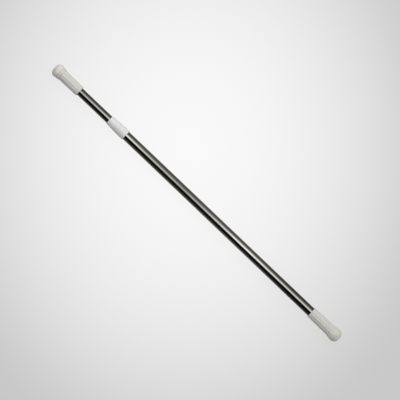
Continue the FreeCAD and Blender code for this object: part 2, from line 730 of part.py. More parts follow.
def make_jack_nut():
    body = turned("jack_nut", "dim.nut_start", ring_outline(
        "dim.nut_start", "dim.nut_step", "dim.jack_rad + dim.jack_hole_gap", "dim.nut_flange_rad"
    ))
    axial_pad(
        body,
        "hexagon",
        lambda sketch: draw_hexagon(sketch, "dim.nut_flats"),
        "dim.nut_step - dim.nut_start",
        "dim.nut_end - dim.nut_step",
    )
    axial_pocket(
        body,
        "bore",
        lambda sketch: draw_circle(sketch, "dim.jack_rad + dim.jack_hole_gap"),
        "0",
        "dim.nut_end - dim.nut_start",
    )
    turn_half_a_flute(body)


def make_jack_grip():
    bore = "dim.inner_dia / 2 + dim.grip_gap"
    groove = "dim.snap_rad + dim.snap_gap"
    body = turned("jack_grip", "dim.grip_start", [
        ("dim.grip_start", bore),
        ("dim.snap_start - dim.snap_gap", bore),
        ("dim.snap_start - dim.snap_gap", groove),
        ("dim.snap_end + dim.snap_gap", groove),
        ("dim.snap_end + dim.snap_gap", bore),
        ("dim.nut_step", bore),
        ("dim.nut_step", "0"),
        ("dim.grip_web_end", "0"),
        ("dim.grip_web_end", "dim.grip_well_rad"),
        ("dim.grip_end", "dim.grip_well_rad"),
        ("dim.grip_end", "dim.grip_end_rad", "dim.foot_flare_arc", -1),
        ("dim.grip_flare", "dim.grip_flare_rad"),
        ("dim.grip_start", "dim.grip_rim_rad"),
    ])
    axial_pocket(
        body,
        "nut_seat",
        lambda sketch: draw_hexagon(sketch, "dim.nut_flats"),
        "dim.nut_step - dim.grip_start",
        "dim.grip_web_end - dim.nut_step",
    )
    round_edges(body, [("0", "dim.grip_rim_rad")], "dim.rim_fillet")
    round_edges(body, [("dim.grip_end - dim.grip_start", "dim.grip_end_rad")], "dim.edge_break")
    lift = "dim.flute_rad - dim.flute_depth"
    cut_flutes(body, [
        ("dim.flute_margin", f"dim.grip_rim_rad + {lift}"),
        ("dim.grip_end - dim.grip_start - dim.flute_margin", f"dim.grip_flare_rad + {lift}"),
    ])
    turn_half_a_flute(body)


# Jack screw and the inner foot --------------------------------------------------------------------------

def make_jack_screw():
    body = new_body("jack_screw", "dim.jack_start")
    axial_pad(
        body,
        "rod",
        lambda sketch: draw_two_flats(sketch, "dim.jack_rad", "dim.jack_flats"),
        "0",
        "dim.jack_end - dim.jack_start",
    )
    cross_hole(body, "(dim.stop_start + dim.stop_end) / 2 - dim.jack_start", "dim.stop_pin_dia")


def make_jack_stop_collar():
    body = turned("jack_stop_collar", "dim.stop_start", ring_outline(
        "dim.stop_start", "dim.stop_end", "dim.jack_rad", "dim.stop_rad"
    ))
    ends = [("0", "dim.stop_rad"), ("dim.stop_end - dim.stop_start", "dim.stop_rad")]
    round_edges(body, ends, "dim.edge_break", "Chamfer")
    cross_hole(body, "(dim.stop_end - dim.stop_start) / 2", "dim.stop_pin_dia")


def make_jack_stop_pin():
    reach = "(dim.stop_rad - dim.pin_inset)"
    middle = "(dim.stop_start + dim.stop_end) / 2"
    SUBPARTS.append(
        cylinder_across("jack_stop_pin", middle, "dim.stop_pin_dia / 2", f"-{reach}", reach)
    )


def make_foot_jam_nut():
    body = new_body("foot_jam_nut", "dim.jam_start")
    length = "dim.jam_end - dim.jam_start"
    axial_pad(body, "hexagon", lambda sketch: draw_hexagon(sketch, "dim.jam_flats"), "0", length)
    axial_pocket(body, "bore", lambda sketch: draw_circle(sketch, "dim.jack_rad"), "0", length)


def make_foot_washer():
    turned("foot_washer", "dim.jam_end", ring_outline(
        "dim.jam_end", "dim.flange_start", "dim.jack_rad", "dim.flange_washer_rad"
    ))


def make_foot_flange():
    body = turned("foot_flange", "dim.flange_start", [
        ("dim.flange_start", "dim.jack_rad"),
        ("dim.jack_end", "dim.jack_rad"),
        ("dim.jack_end", "0"),
        ("dim.flange_spigot_end", "0"),
        ("dim.flange_spigot_end", "dim.flange_spigot_rad"),
        ("dim.flange_end", "dim.flange_spigot_rad"),
        ("dim.flange_end", "dim.flange_rad"),
        ("dim.flange_flare_end", "dim.flange_rad", "dim.foot_flare_arc", -1),
        ("dim.flange_start", "dim.flange_start_rad"),
    ])
    rims = [
        ("0", "dim.flange_start_rad"),
        ("dim.flange_flare_end - dim.flange_start", "dim.flange_rad"),
        ("dim.flange_end - dim.flange_start", "dim.flange_rad"),
    ]
    round_edges(body, rims, "dim.edge_break")


def make_inner_foot_pad():
    body = turned("inner_foot_pad", "dim.flange_end", [
        ("dim.flange_end", "dim.flange_spigot_rad"),
        ("dim.flange_spigot_end", "dim.flange_spigot_rad"),
        ("dim.flange_spigot_end", "0"),
        ("dim.disc_end", "0"),
        ("dim.disc_end", "dim.disc_face_rad", "dim.disc_arc", 1),
        ("dim.disc_shoulder", "dim.disc_shoulder_rad", "dim.disc_arc", 1),
        ("dim.flange_end", "dim.disc_rear_rad"),
    ])
    face = ("dim.disc_end - dim.flange_end", "dim.disc_face_rad")
    round_edges(body, [face], "dim.face_fillet")
    round_edges(body, [("0", "dim.disc_rear_rad")], "dim.edge_break")


# Everything together ----------------------------------------------------------------------------------------

def make_everything():
    make_outer_tube()
    make_outer_end_sleeve()
    make_outer_foot_pad()
    make_outer_foot_washer()
    make_outer_foot_screw()
    make_outer_tube_plug()
    make_outer_plug_pin()
    make_mouth_bush()
    make_thread_sleeve()
    make_clamp_ring()
    make_lock_collar()
    make_wiper_ring()
    make_inner_tube()
    make_guide_bush()
    make_guide_bush_pin()
    make_jack_plug()
    make_jack_plug_rivets()
    make_jack_retaining_ring()
    make_jack_thrust_washer()
    make_jack_nut()
    make_jack_grip()
    make_jack_screw()
    make_jack_stop_collar()
    make_jack_stop_pin()
    make_foot_jam_nut()
    make_foot_washer()
    make_foot_flange()
    make_inner_foot_pad()
    doc.recompute()


def check_everything():
    """Stops before anything is written if an object failed or a shape is not sound."""
    for item in doc.Objects:
        if "Invalid" in item.State or "Error" in item.State:
            raise RuntimeError(f"{item.Label}: {item.State}")
        if item.isDerivedFrom("Sketcher::SketchObject") and not item.FullyConstrained:
            raise RuntimeError(f"{item.Label}: a size or place is missing")
    for piece in SUBPARTS:
        if piece.Shape.isNull() or not piece.Shape.isValid():
            raise RuntimeError(f"{piece.Label}: the shape is not sound")
        print(f"{piece.Label}: {len(piece.Shape.Solids)} solid, {piece.Shape.Volume:.0f} mm3")


def write_everything():
    os.makedirs("parts", exist_ok=True)
    for piece in SUBPARTS:
        piece.Shape.exportStep(f"parts/{piece.Label}.step")


fill_sheet()
make_everything()
check_everything()
write_everything()
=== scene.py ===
import json
import math

import bpy
from mathutils import Matrix, Vector


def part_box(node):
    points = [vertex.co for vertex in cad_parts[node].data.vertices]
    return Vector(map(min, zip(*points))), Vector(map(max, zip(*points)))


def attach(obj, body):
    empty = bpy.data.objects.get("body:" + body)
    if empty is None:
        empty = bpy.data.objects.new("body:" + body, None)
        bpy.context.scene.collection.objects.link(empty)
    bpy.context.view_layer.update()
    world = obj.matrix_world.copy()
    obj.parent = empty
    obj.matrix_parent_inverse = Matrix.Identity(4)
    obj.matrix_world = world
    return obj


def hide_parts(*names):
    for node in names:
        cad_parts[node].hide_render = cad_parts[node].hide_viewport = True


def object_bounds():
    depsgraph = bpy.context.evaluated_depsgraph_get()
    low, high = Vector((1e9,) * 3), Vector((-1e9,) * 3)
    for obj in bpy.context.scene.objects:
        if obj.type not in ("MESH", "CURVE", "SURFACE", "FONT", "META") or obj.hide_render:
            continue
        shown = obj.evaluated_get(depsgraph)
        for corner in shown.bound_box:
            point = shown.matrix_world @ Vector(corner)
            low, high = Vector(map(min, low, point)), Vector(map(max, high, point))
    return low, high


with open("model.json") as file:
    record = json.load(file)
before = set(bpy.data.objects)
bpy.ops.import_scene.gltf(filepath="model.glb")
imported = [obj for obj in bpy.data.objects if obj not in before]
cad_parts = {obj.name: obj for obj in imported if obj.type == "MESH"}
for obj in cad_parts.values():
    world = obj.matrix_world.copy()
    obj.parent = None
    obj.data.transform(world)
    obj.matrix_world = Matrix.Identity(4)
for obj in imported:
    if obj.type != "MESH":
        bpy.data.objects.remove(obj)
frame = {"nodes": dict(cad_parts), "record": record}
cad_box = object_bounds()

# Door security bar. The bar lies along X on a pale floor, +X towards the inner foot.
# Everything below is in metres.

MM = 0.001
AROUND = 144            # segments round a plain turned surface
FLUTES = 12             # flutes round each sleeve
PER_FLUTE = 20          # segments across one flute
CORNER_STEPS = 5        # segments along a rounded corner
CORNER_REACH = 0.45     # most of an edge that a rounded corner may take
MESH_STEP = 1.5 * MM    # longest edge along a moulded piece
TINY = 1e-7             # a radius or a sine under this counts as none

# Roundings and small steps.
HOLE_EDGE = 0.2 * MM
BORE_EDGE = 0.3 * MM
MOUTH_EDGE = 0.4 * MM
COLLAR_EDGE = 1.0 * MM
RIM_EDGE = 1.2 * MM
SEAM_STEP = 0.12 * MM   # along the axis, beside the seam of a foot pad
SEAM_DROP = 0.35 * MM   # towards the axis, at the seam
UNDER_SKIN = 1.0 * MM   # a surface this much nearer the axis than the outside carries no flutes

# Shape of the tubes.
TUBE_WALL = 0.8 * MM
TUBE_EDGE = 0.25 * MM
TUBE_HOLD = 1.0 * MM    # place of the ring that keeps the reflections straight, from each end

# Shape of the outer sleeve and its pad, as stations from the outer foot's face and radii.
PAD_FACE_RAD = 9.0 * MM
PAD_DOME_ARC = 12.0 * MM
PAD_SEAM_RAD = 17.3 * MM
SLEEVE_FLARE_ARC = 28.0 * MM
SLEEVE_FLARE_END = (20.0 * MM, 17.54 * MM)
SLEEVE_NECK_ARC = 121.7 * MM
SLEEVE_NECK = (40.0 * MM, 15.6 * MM)
SLEEVE_RIM_RAD = 14.75 * MM
SLEEVE_WEB = (15.0 * MM, 18.5 * MM, 22.0 * MM)
SLEEVE_WELL_RAD = 8.0 * MM
SLEEVE_HOLE_RAD = 2.7 * MM
PAD_SPIGOT_RAD = 13.0 * MM
PAD_POCKET = (11.0 * MM, 6.5 * MM)

# Shape of the grip, the flange and the inner pad.
GRIP_RIM_RAD = 14.2 * MM
GRIP_FLARE = (990.0 * MM, 14.85 * MM)
GRIP_END_RAD = 15.55 * MM
FOOT_FLARE_ARC = 18.9 * MM
GRIP_WEB = (976.5 * MM, 986.5 * MM)
GRIP_WELL_RAD = 10.0 * MM
GRIP_HOLE_RAD = 8.0 * MM
FLANGE_START_RAD = 15.67 * MM
FLANGE_FLARE_END = (999.3 * MM, 17.3 * MM)
FLANGE_SPIGOT_RAD = 11.0 * MM
DISC_REAR_RAD = 17.7 * MM
DISC_SHOULDER = (1011.5 * MM, 18.1 * MM)
DISC_ARC = 12.0 * MM
DISC_FACE_RAD = 9.5 * MM

# Broken edges of the two pads, as depths behind the face and radii past the face's own.
PAD_EDGE = ((0.12 * MM, -0.1 * MM), (0.5 * MM, 0.35 * MM))
DISC_EDGE = ((0.5 * MM, 0.3 * MM), (0.12 * MM, -0.15 * MM))
DISC_REAR_EDGE = ((0.0, -0.5 * MM), (0.1 * MM, -0.2 * MM), (0.4 * MM, -0.05 * MM))
PAD_LIP = 0.8 * MM      # plain ring outside the grooves of the face
DISC_LIP = 0.9 * MM

# Shape of the collar.
COLLAR_RAD = 14.6 * MM
COLLAR_KNEE = 785.0 * MM
COLLAR_KNEE_ROUND = 9.0 * MM
COLLAR_LIP_RAD = 12.6 * MM
COLLAR_REAR_BORE = 12.65 * MM
COLLAR_STEP = 768.5 * MM
COLLAR_THREAD_BORE = 13.4 * MM
COLLAR_CONE = ((790.8 * MM, 13.25 * MM), (811.0 * MM, 12.05 * MM))
COLLAR_FRONT_BORE = 11.35 * MM
COLLAR_WIPER = (815.0 * MM, 817.8 * MM, 12.0 * MM)

FLUTE_DEPTH = 0.6 * MM
FLUTE_SHARE = 0.6       # share of the pitch that a flute takes, the rest is land
FLUTE_FADE = 3.0 * MM   # length over which a flute runs out
FLUTE_EASE = 5          # a flute eases into the land over one part in this many of its half width
FACE_GROOVES = (3.0 * MM, 5.0 * MM, 7.0 * MM)
FACE_GROOVE_DEPTH = 0.35 * MM
FACE_GROOVE_HALF = 0.35 * MM
FACE_STEPS = 72         # rings on a foot's flat face

SCREW_LEAD = 5.0 * MM
SCREW_STARTS = 2
SCREW_THREAD_DEPTH = 0.75 * MM
SCREW_RAD = 5.0 * MM
SCREW_FLAT = 4.0 * MM
SCREW_CHAMFER = 1.0 * MM
SCREW_STEP = 0.25 * MM  # length between the thread's rings
SCREW_AROUND = 96
THREAD_SLOPE = 3.2      # fall of a thread's side, in thread depths for each pitch
THREAD_CREST = 0.3      # part of that fall that the flat crest takes


# Outlines -------------------------------------------------------------------------------------------

def rounded(corners):
    """Closed outline with rounded corners, from (station, radius, rounding) triples."""
    points = []
    count = len(corners)
    for index, (along, radius, rounding) in enumerate(corners):
        here = Vector((along, radius))
        if rounding <= 0:
            points.append(here)
            continue
        before = Vector(corners[index - 1][:2]) - here
        after = Vector(corners[(index + 1) % count][:2]) - here
        turn = before.angle(after)
        reach = min(rounding / math.tan(turn / 2), CORNER_REACH * min(before.length, after.length))
        first = here + before.normalized() * reach
        last = here + after.normalized() * reach
        for step in range(CORNER_STEPS + 1):
            share = step / CORNER_STEPS
            near = first.lerp(here, share)
            far = here.lerp(last, share)
            points.append(near.lerp(far, share))
    return [(point.x, point.y) for point in points]


def arc_points(first, last, radius, bulge, steps):
    """Points along an arc from first to last, both left out. bulge 1 swells away from the axis."""
    start, end = Vector(first), Vector(last)
    run = end - start
    side = Vector((-run.y, run.x)).normalized()
    if side.y * bulge > 0:
        side = -side
    centre = (start + end) / 2 + side * math.sqrt(radius ** 2 - (run.length / 2) ** 2)
    spokes = (start - centre, end - centre)
    sweep = spokes[0].angle_signed(spokes[1])
    points = []
    for step in range(1, steps):
        turned = Matrix.Rotation(-sweep * step / steps, 2) @ spokes[0]
        points.append((centre.x + turned.x, centre.y + turned.y))
    return points


def with_steps(outline, longest):
    """The same closed outline with its long edges divided."""
    points = []
    for index, (along, radius) in enumerate(outline):
        following = outline[(index + 1) % len(outline)]
        length = math.dist((along, radius), following)
        parts = max(1, math.ceil(length / longest))
        for part in range(parts):
            share = part / parts
            points.append((
                along + (following[0] - along) * share,
                radius + (following[1] - radius) * share,
            ))
    return points


# Meshes ---------------------------------------------------------------------------------------------

def turned_mesh(name, outline, around=AROUND, shape=None):
    """A closed outline turned about the X axis. Points on the axis become one vertex each.
    shape(along, radius, angle) gives the radius where the surface isn't round."""
    vertices = []
    rings = []
    for along, radius in outline:
        if radius < TINY:
            rings.append([len(vertices)])
            vertices.append((along, 0.0, 0.0))
            continue
        ring = []
        for step in range(around):
            angle = 2 * math.pi * step / around
            reach = shape(along, radius, angle) if shape else radius
            ring.append(len(vertices))
            vertices.append((along, reach * math.cos(angle), reach * math.sin(angle)))
        rings.append(ring)
    faces = []
    for index, ring in enumerate(rings):
        other = rings[(index + 1) % len(rings)]
        if len(ring) == 1 and len(other) == 1:
            continue
        for step in range(around):
            following = (step + 1) % around
            if len(ring) == 1:
                faces.append((ring[0], other[following], other[step]))
            elif len(other) == 1:
                faces.append((ring[step], ring[following], other[0]))
            else:
                faces.append((ring[step], ring[following], other[following], other[step]))
    mesh = bpy.data.meshes.new(name)
    mesh.from_pydata(vertices, [], faces)
    mesh.validate()
    mesh.update()
    for polygon in mesh.polygons:
        polygon.use_smooth = True
    piece = bpy.data.objects.new(name, mesh)
    bpy.context.scene.collection.objects.link(piece)
    face_outward(piece)
    return piece


def face_outward(piece):
    """Turns every face round if the closed mesh encloses a negative volume."""
    mesh = piece.data
    mesh.calc_loop_triangles()
    volume = 0.0
    for triangle in mesh.loop_triangles:
        a, b, c = (mesh.vertices[index].co for index in triangle.vertices)
        volume += a.dot(b.cross(c))
    if volume < 0:
        mesh.flip_normals()


def smooth_share(value):
    value = min(max(value, 0.0), 1.0)
    return value * value * (3 - 2 * value)


def flute_cut(angle, turn):
    """Depth of the flutes at an angle, from 0 on a land to 1 in the middle of a flute. turn is how
    far the sleeve is turned, in flutes."""
    phase = (angle * FLUTES / (2 * math.pi) - turn + 0.5) % 1.0 - 0.5
    across = abs(phase) * 2 / FLUTE_SHARE
    if across >= 1:
        return 0.0
    hollow = 1 - across * across
    return hollow * smooth_share((1 - across) * FLUTE_EASE)


def run_window(along, start, end):
    """1 along a flute, falling to 0 at both of its ends."""
    return smooth_share((along - start) / FLUTE_FADE) * smooth_share((end - along) / FLUTE_FADE)


def face_groove(radius):
    """Depth of the concentric grip grooves of a foot's face at a radius, from 0 to 1."""
    depth = 0.0
    for groove in FACE_GROOVES:
        depth = max(depth, 1 - ((radius - groove) / FACE_GROOVE_HALF) ** 2)
    return depth


def finished(piece, node, material):
    """Hands a piece over: it stands for the CAD node of that name and rides on the node's body."""
    body = next(name for name, nodes in frame["record"]["behaviour"]["bodies"].items() if node in nodes)
    piece.data.materials.append(material)
    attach(piece, body)
    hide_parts(node)
    return piece


# Materials ------------------------------------------------------------------------------------------

def new_material(name, colour, metallic, roughness):
    """A node material and its nodes: (material, tree, shader, coordinates)."""
    material = bpy.data.materials.new(name)
    material.use_nodes = True
    tree = material.node_tree
    shader = tree.nodes["Principled BSDF"]
    shader.inputs["Base Color"].default_value = (*colour, 1)
    shader.inputs["Metallic"].default_value = metallic
    shader.inputs["Roughness"].default_value = roughness
    coordinates = tree.nodes.new("ShaderNodeTexCoord")
    return material, tree, shader, coordinates


def add_noise(tree, coordinates, scale, stretch=(1, 1, 1), detail=3.0):
    """Noise in the object's own metres, stretched along the axes."""
    mapping = tree.nodes.new("ShaderNodeMapping")
    mapping.inputs["Scale"].default_value = stretch
    noise = tree.nodes.new("ShaderNodeTexNoise")
    noise.inputs["Scale"].default_value = scale
    noise.inputs["Detail"].default_value = detail
    tree.links.new(coordinates.outputs["Object"], mapping.inputs["Vector"])
    tree.links.new(mapping.outputs["Vector"], noise.inputs["Vector"])
    return noise.outputs["Fac"]


def add_range(tree, source, low, high, source_low=0.3, source_high=0.7):
    scaled = tree.nodes.new("ShaderNodeMapRange")
    scaled.inputs["From Min"].default_value = source_low
    scaled.inputs["From Max"].default_value = source_high
    scaled.inputs["To Min"].default_value = low
    scaled.inputs["To Max"].default_value = high
    tree.links.new(source, scaled.inputs["Value"])
    return scaled.outputs["Result"]


def add_colour_mix(tree, share, first, second):
    mix = tree.nodes.new("ShaderNodeMix")
    mix.data_type = "RGBA"
    mix.inputs["A"].default_value = (*first, 1)
    mix.inputs["B"].default_value = (*second, 1)
    tree.links.new(share, mix.inputs["Factor"])
    return mix.outputs["Result"]


def add_bump(tree, shader, height, strength, distance):
    bump = tree.nodes.new("ShaderNodeBump")
    bump.inputs["Strength"].default_value = strength
    bump.inputs["Distance"].default_value = distance
    tree.links.new(height, bump.inputs["Height"])
    tree.links.new(bump.outputs["Normal"], shader.inputs["Normal"])


def chrome_material(name, light, dark, haze_range):
    """Bright chrome plate with faint draw lines along the tube and a little haze."""
    material, tree, shader, coordinates = new_material(name, light, metallic=1.0, roughness=haze_range[0])
    lines = add_noise(tree, coordinates, scale=900.0, stretch=(0.02, 1, 1), detail=4.0)
    haze = add_noise(tree, coordinates, scale=14.0, detail=5.0)
    tree.links.new(add_range(tree, haze, *haze_range), shader.inputs["Roughness"])
    tint = add_colour_mix(tree, add_range(tree, haze, 0, 1), light, dark)
    tree.links.new(tint, shader.inputs["Base Color"])
    add_bump(tree, shader, lines, strength=0.05, distance=0.00002)
    return material


def plastic_material(name, light, dark, roughness, grain, gloss):
    """Moulded plastic: faint mottling, satin grain and a little handling dirt."""
    material, tree, shader, coordinates = new_material(name, light, metallic=0.0, roughness=roughness)
    shader.inputs["Specular IOR Level"].default_value = gloss
    mottle = add_noise(tree, coordinates, scale=55.0, detail=4.0)
    tint = add_colour_mix(tree, add_range(tree, mottle, 0, 1), light, dark)
    tree.links.new(tint, shader.inputs["Base Color"])
    tree.links.new(add_range(tree, mottle, roughness - 0.06, roughness + 0.08), shader.inputs["Roughness"])
    texture = add_noise(tree, coordinates, scale=1400.0, detail=2.0)
    add_bump(tree, shader, texture, strength=grain, distance=0.00003)
    return material


def rubber_material(name, light, dark):
    """Matt moulded rubber, dustier in patches."""
    material, tree, shader, coordinates = new_material(name, light, metallic=0.0, roughness=0.72)
    shader.inputs["Specular IOR Level"].default_value = 0.25
    dust = add_noise(tree, coordinates, scale=90.0, detail=6.0)
    tint = add_colour_mix(tree, add_range(tree, dust, 0, 1), light, dark)
    tree.links.new(tint, shader.inputs["Base Color"])
    tree.links.new(add_range(tree, dust, 0.62, 0.82), shader.inputs["Roughness"])
    pores = add_noise(tree, coordinates, scale=1800.0, detail=3.0)
    add_bump(tree, shader, pores, strength=0.25, distance=0.00006)
    return material


def metal_material(name, light, dark, roughness):
    """Plated or turned metal with lathe lines round the axis."""
    material, tree, shader, coordinates = new_material(name, light, metallic=1.0, roughness=roughness)
    lathe = add_noise(tree, coordinates, scale=1500.0, stretch=(1, 0.03, 0.03), detail=3.0)
    cloud = add_noise(tree, coordinates, scale=160.0, detail=4.0)
    tint = add_colour_mix(tree, add_range(tree, cloud, 0, 1), light, dark)
    tree.links.new(tint, shader.inputs["Base Color"])
    tree.links.new(add_range(tree, lathe, roughness - 0.07, roughness + 0.1), shader.inputs["Roughness"])
    add_bump(tree, shader, lathe, strength=0.2, distance=0.00003)
    return material


def make_materials():
    """One material for each of the record's slots."""
    return {
        "chromed_tube": chrome_material(
            "chrome_plate", (0.62, 0.615, 0.60), (0.57, 0.565, 0.56), (0.055, 0.12)
        ),
        "cap_plastic": plastic_material(
            "cap_plastic_satin", (0.765, 0.752, 0.71), (0.73, 0.716, 0.672),
            roughness=0.38, grain=0.08, gloss=0.5,
        ),
        "collar_plastic": plastic_material(
            "collar_plastic_white", (0.87, 0.87, 0.865), (0.845, 0.845, 0.835),
            roughness=0.34, grain=0.05, gloss=0.5,
        ),
        "foot_rubber": rubber_material("foot_rubber_pale", (0.855, 0.82, 0.775), (0.805, 0.77, 0.725)),
        "plated_steel": metal_material("zinc_plate", (0.64, 0.65, 0.67), (0.52, 0.54, 0.57), 0.3),
        "spring_steel": metal_material("spring_steel_black", (0.20, 0.20, 0.21), (0.11, 0.11, 0.12), 0.4),
        "turned_aluminium": metal_material("aluminium_turned", (0.78, 0.79, 0.80), (0.68, 0.69, 0.70), 0.28),
        "nut_brass": metal_material("brass_turned", (0.74, 0.55, 0.24), (0.60, 0.43, 0.17), 0.26),
        "dark_nylon": plastic_material(
            "nylon_black", (0.035, 0.035, 0.038), (0.025, 0.025, 0.027),
            roughness=0.5, grain=0.2, gloss=0.5,
        ),
        "clamp_acetal": plastic_material(
            "acetal_natural", (0.74, 0.72, 0.65), (0.69, 0.67, 0.60),
            roughness=0.38, grain=0.1, gloss=0.5,
        ),
        "wiper_rubber": rubber_material("wiper_rubber_black", (0.03, 0.03, 0.03), (0.045, 0.045, 0.045)),
    }


# Pieces ---------------------------------------------------------------------------------------------

def make_tube(node, material):
    """A plain chromed tube with a wall and broken edges, as long and as thick as its CAD node.
    A ring close to each end keeps the reflections straight from there on."""
    low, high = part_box(node)
    inner = high.y - TUBE_WALL
    outline = rounded([
        (low.x, inner, TUBE_EDGE),
        (low.x + TUBE_HOLD, inner, 0),
        (high.x - TUBE_HOLD, inner, 0),
        (high.x, inner, TUBE_EDGE),
        (high.x, high.y, TUBE_EDGE),
        (high.x - TUBE_HOLD, high.y, 0),
        (low.x + TUBE_HOLD, high.y, 0),
        (low.x, high.y, TUBE_EDGE),
    ])
    piece = turned_mesh(f"{node}_chromed", outline)
    return finished(piece, node, material)


def make_outer_sleeve(material):
    """Fluted sleeve that flares into the outer foot."""
    low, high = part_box("outer_end_sleeve")
    tube_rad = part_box("outer_tube")[1].y
    well_start, web_start, web_end = SLEEVE_WEB
    seam = (low.x, PAD_SEAM_RAD)
    outline = rounded([
        (web_start, SLEEVE_HOLE_RAD, HOLE_EDGE),
        (web_end, SLEEVE_HOLE_RAD, HOLE_EDGE),
        (web_end, tube_rad, 0),
        (high.x, tube_rad, MOUTH_EDGE),
        (high.x, SLEEVE_RIM_RAD, RIM_EDGE),
        (*SLEEVE_NECK, 0),
    ])
    outline += arc_points(SLEEVE_NECK, SLEEVE_FLARE_END, SLEEVE_NECK_ARC, bulge=-1, steps=12)
    outline.append(SLEEVE_FLARE_END)
    outline += arc_points(SLEEVE_FLARE_END, seam, SLEEVE_FLARE_ARC, bulge=1, steps=10)
    outline += [
        (low.x + SEAM_STEP, PAD_SEAM_RAD - 0.03 * MM),
        (low.x, PAD_SEAM_RAD - SEAM_DROP),
        (low.x, PAD_SPIGOT_RAD),
        (well_start, PAD_SPIGOT_RAD),
        (well_start, SLEEVE_WELL_RAD),
        (web_start, SLEEVE_WELL_RAD),
    ]
    outline = with_steps(outline, MESH_STEP)
    flute_start = SLEEVE_FLARE_END[0] + 1.0 * MM
    flute_end = high.x - 3.0 * MM

    def shape(along, radius, angle):
        if radius < tube_rad + UNDER_SKIN:
            return radius
        window = run_window(along, flute_start, flute_end)
        return radius - FLUTE_DEPTH * flute_cut(angle, turn=0.0) * window

    piece = turned_mesh("outer_sleeve_fluted", outline, FLUTES * PER_FLUTE, shape)
    return finished(piece, "outer_end_sleeve", material)


def face_points(along, outward, radius):
    """A foot's flat face from its middle to the given radius, with its concentric grip grooves.
    outward is -1 where the face looks along -X and 1 where it looks along +X."""
    points = []
    for step in range(FACE_STEPS + 1):
        here = radius * step / FACE_STEPS
        depth = FACE_GROOVE_DEPTH * max(0.0, face_groove(here))
        points.append((along - outward * depth, here))
    return points


def make_outer_pad(material):
    """Domed rubber pad pressed into the outer sleeve."""
    low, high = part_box("outer_foot_pad")
    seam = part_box("outer_end_sleeve")[0].x
    outline = face_points(low.x, -1, PAD_FACE_RAD - PAD_LIP)
    outline += [(low.x + depth, PAD_FACE_RAD + past) for depth, past in PAD_EDGE]
    outline += arc_points(outline[-1], (seam, PAD_SEAM_RAD), PAD_DOME_ARC, bulge=1, steps=14)
    outline += [
        (seam - SEAM_STEP, PAD_SEAM_RAD - 0.1 * MM),
        (seam, PAD_SEAM_RAD - SEAM_DROP),
        (seam, PAD_SPIGOT_RAD),
        (high.x, PAD_SPIGOT_RAD),
        (high.x, PAD_POCKET[1]),
        (PAD_POCKET[0], PAD_POCKET[1]),
        (PAD_POCKET[0], 0.0),
    ]
    piece = turned_mesh("outer_pad_domed", outline)
    return finished(piece, "outer_foot_pad", material)


def make_collar(material):
    """Twist-lock collar: a short cylinder and a taper outside, a threaded bore and a cone inside."""
    low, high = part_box("lock_collar")
    wiper_start, wiper_end, wiper_rad = COLLAR_WIPER
    outline = rounded([
        (low.x, COLLAR_REAR_BORE, BORE_EDGE),
        (COLLAR_STEP, COLLAR_REAR_BORE, HOLE_EDGE),
        (COLLAR_STEP, COLLAR_THREAD_BORE, 0),
        (COLLAR_CONE[0][0], COLLAR_THREAD_BORE, 0),
        (*COLLAR_CONE[0], 0),
        (*COLLAR_CONE[1], 0),
        (COLLAR_CONE[1][0], COLLAR_FRONT_BORE, 0),
        (wiper_start, COLLAR_FRONT_BORE, 0),
        (wiper_start, wiper_rad, 0),
        (wiper_end, wiper_rad, 0),
        (wiper_end, COLLAR_FRONT_BORE, 0),
        (high.x, COLLAR_FRONT_BORE, BORE_EDGE),
        (high.x, COLLAR_LIP_RAD, COLLAR_EDGE),
        (COLLAR_KNEE, COLLAR_RAD, COLLAR_KNEE_ROUND),
        (low.x, COLLAR_RAD, COLLAR_EDGE),
    ])
    piece = turned_mesh("lock_collar_moulded", with_steps(outline, MESH_STEP))
    return finished(piece, "lock_collar", material)


def make_grip(material):
    """Fluted jack grip that turns on the thin tube."""
    low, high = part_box("jack_grip")
    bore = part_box("inner_tube")[1].y + 0.08 * MM
    ring_low, ring_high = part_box("jack_retaining_ring")
    ring_room = 0.1 * MM
    groove_rad = ring_high.y + ring_room
    groove_start = ring_low.x - ring_room
    groove_end = ring_high.x + ring_room
    mouth = (high.x, GRIP_END_RAD)
    outline = rounded([
        (*GRIP_FLARE, 0),
        (low.x, GRIP_RIM_RAD, RIM_EDGE),
        (low.x, bore, BORE_EDGE),
        (groove_start, bore, 0),
        (groove_start, groove_rad, 0),
        (groove_end, groove_rad, 0),
        (groove_end, bore, 0),
        (GRIP_WEB[0], bore, 0),
        (GRIP_WEB[0], GRIP_HOLE_RAD, 0),
        (GRIP_WEB[1], GRIP_HOLE_RAD, 0),
        (GRIP_WEB[1], GRIP_WELL_RAD, 0),
        (high.x, GRIP_WELL_RAD, BORE_EDGE),
        (*mouth, 0),
    ])
    outline += arc_points(mouth, GRIP_FLARE, FOOT_FLARE_ARC, bulge=-1, steps=6)
    outline = with_steps(outline, MESH_STEP)
    flute_start = low.x + 2.5 * MM
    flute_end = GRIP_FLARE[0] + 3.5 * MM

    def shape(along, radius, angle):
        if radius < GRIP_RIM_RAD - UNDER_SKIN:
            return radius
        window = run_window(along, flute_start, flute_end)
        return radius - FLUTE_DEPTH * flute_cut(angle, turn=0.5) * window

    piece = turned_mesh("jack_grip_fluted", outline, FLUTES * PER_FLUTE, shape)
    return finished(piece, "jack_grip", material)


